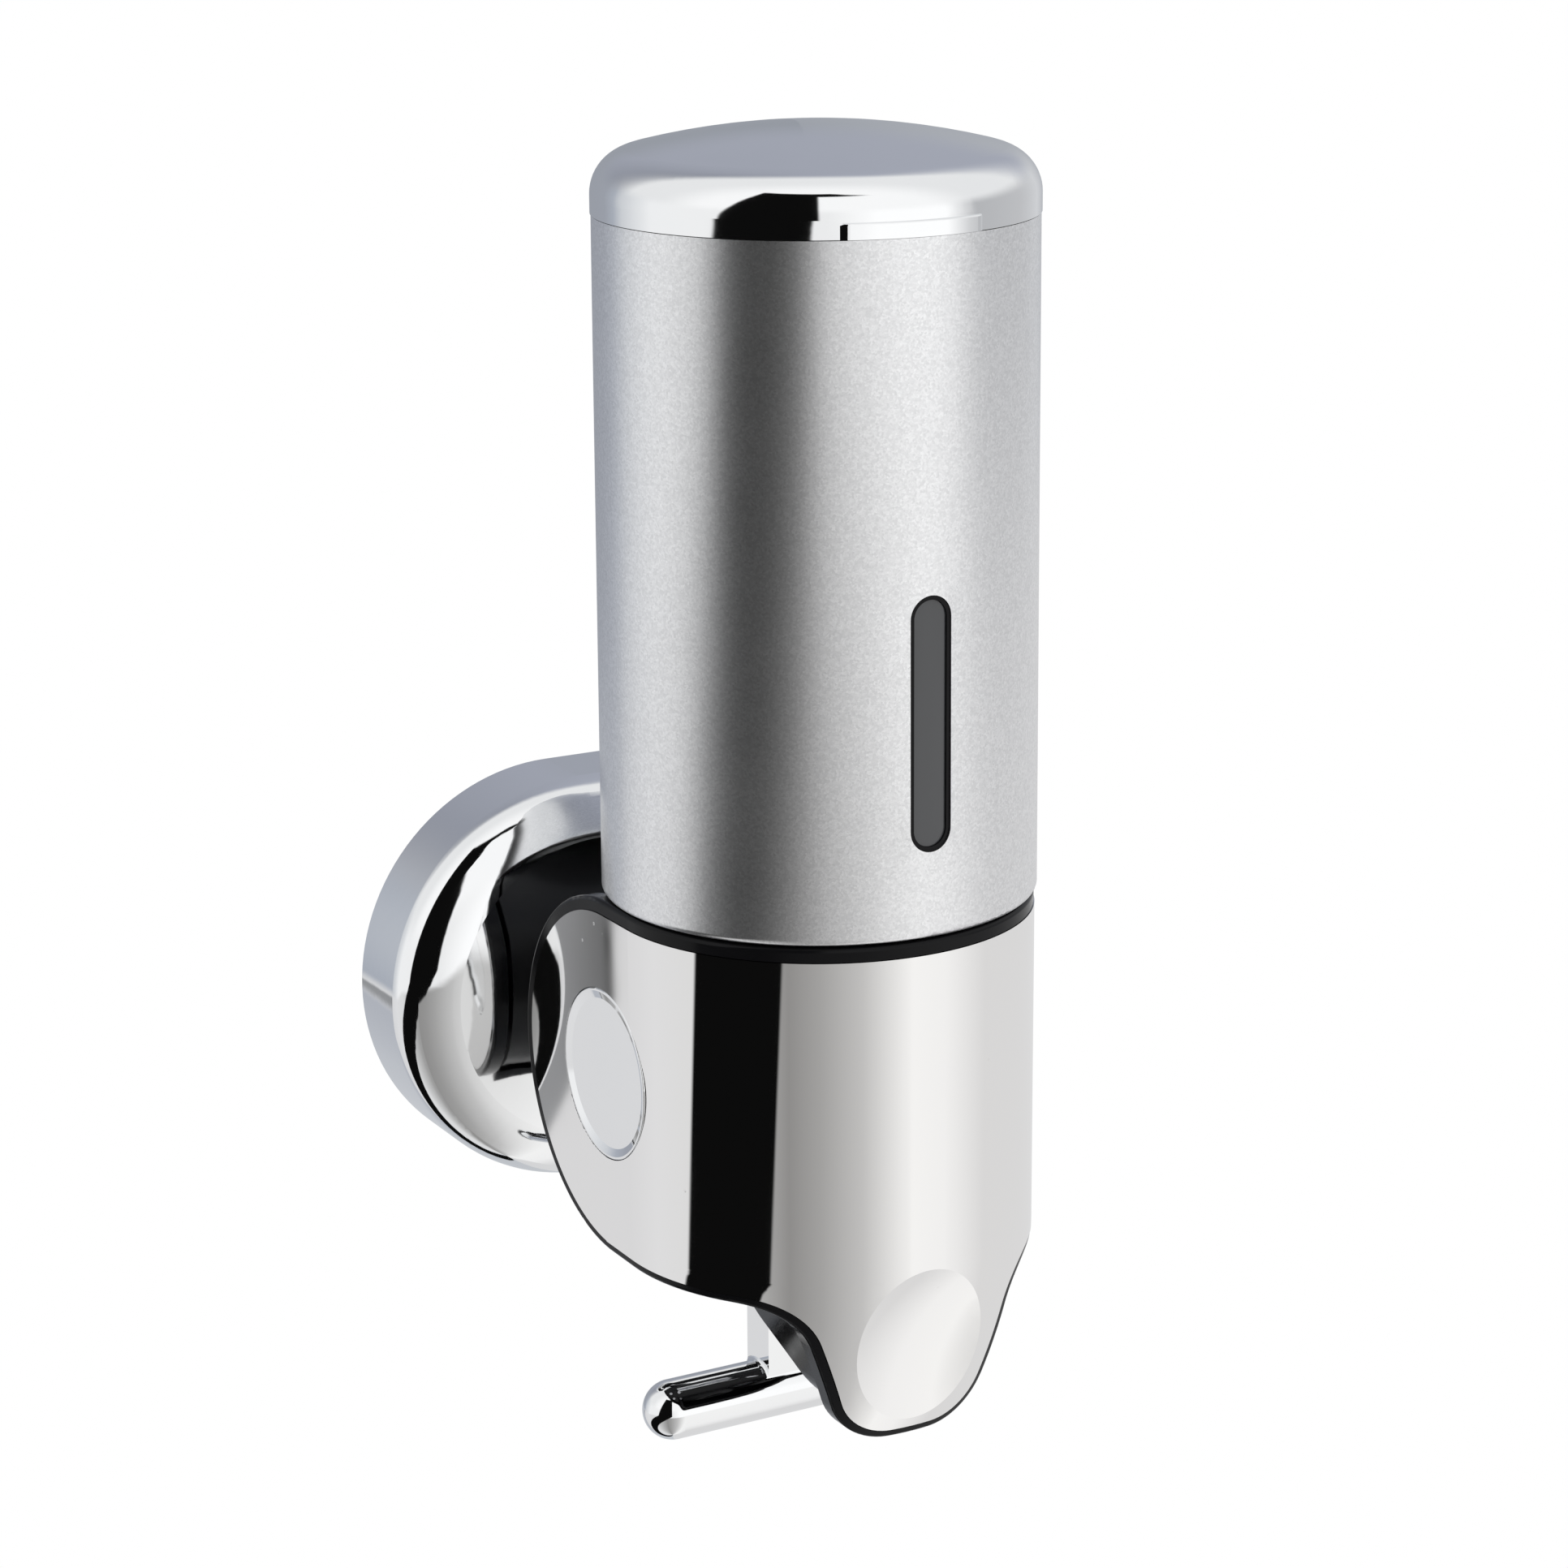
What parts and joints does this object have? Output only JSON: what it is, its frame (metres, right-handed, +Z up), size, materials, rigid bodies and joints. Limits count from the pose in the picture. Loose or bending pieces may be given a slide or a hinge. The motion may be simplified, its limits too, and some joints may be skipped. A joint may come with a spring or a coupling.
{
  "type": "wall mounted soap dispenser",
  "caption": "Wall mounted liquid soap dispenser: round silver bottle with a level window on a steel lever with a thumb nose, a hook under it, and an oblong chrome wall rosette.",
  "frame": {"origin": "middle of the wall plate's back face, on the wall plane, in line with the arm", "axes": "+Y into the wall, +Z up, +X to the right seen from the front; the dispenser stands out towards -Y"},
  "size_m": [0.1054, 0.1102, 0.2298],
  "materials": {
    "silver_paint": "satin metallic silver spray paint over moulded plastic",
    "chrome_plate": "bright chrome plate",
    "mirror_steel": "mirror polished stainless steel",
    "black_abs": "glossy black moulded plastic",
    "chassis_abs": "semi-gloss black moulded plastic",
    "smoke_lens": "smoke tinted clear plastic",
    "clear_tank": "frosted translucent plastic",
    "white_acetal": "natural white acetal",
    "black_rubber": "matte black rubber",
    "silicone": "grey silicone rubber",
    "zinc_steel": "zinc plated steel",
    "stainless": "plain stainless steel",
    "plate_steel": "pressed zinc plated steel plate"
  },
  "bodies": {
    "base": {"wall_plate": "plate_steel", "wall_rosette": "chrome_plate", "rosette_grub_screw": "stainless", "mount_arm": "black_abs", "arm_bolt": "zinc_steel", "arm_nut": "zinc_steel", "chassis": "chassis_abs", "base_plate": "chassis_abs", "base_screws": "zinc_steel", "bottle_sleeve": "silver_paint", "window_bezel": "black_abs", "window_lens": "smoke_lens", "tank": "clear_tank", "tank_gasket": "silicone", "lock_nut": "white_acetal", "pump_body": "white_acetal", "pump_screws": "zinc_steel", "duct_plug": "white_acetal", "inlet_seal": "silicone", "inlet_ball": "stainless", "outlet_ball": "stainless", "nozzle": "black_rubber", "return_spring": "stainless", "towel_hook": "chrome_plate", "hook_screws": "zinc_steel"},
    "lever": {"steel_cover": "mirror_steel", "lever_liner": "black_abs", "lever_pusher": "white_acetal", "pivot_cap_left": "mirror_steel", "pivot_cap_right": "mirror_steel", "pivot_pin_left": "stainless", "pivot_pin_right": "stainless"},
    "lid": {"lid_cap": "chrome_plate", "lid_insert": "black_abs", "lid_seal": "black_rubber"},
    "pump_piston": {"piston": "white_acetal", "piston_seal": "black_rubber"}
  },
  "joints": [
    {"name": "lever_press", "type": "hinge", "parent": "base", "child": "lever", "pos_m": [0, -0.0636, 0], "axis": [1, 0, 0], "range_deg": [0, 12], "stiffness_Nm_per_rad": 0.8, "springref_deg": -22.92},
    {"name": "piston_travel", "type": "slide", "parent": "base", "child": "pump_piston", "axis": [0, 1, 0], "range_m": [0, 0.0043], "deforming": ["return_spring"]},
    {"name": "lid_lift", "type": "slide", "parent": "base", "child": "lid", "axis": [0, 0, 1], "range_m": [0, 0.05]}
  ],
  "couplings": [
    {"joint": "piston_travel", "follows": "lever_press", "m_per_rad": 0.0205}
  ]
}
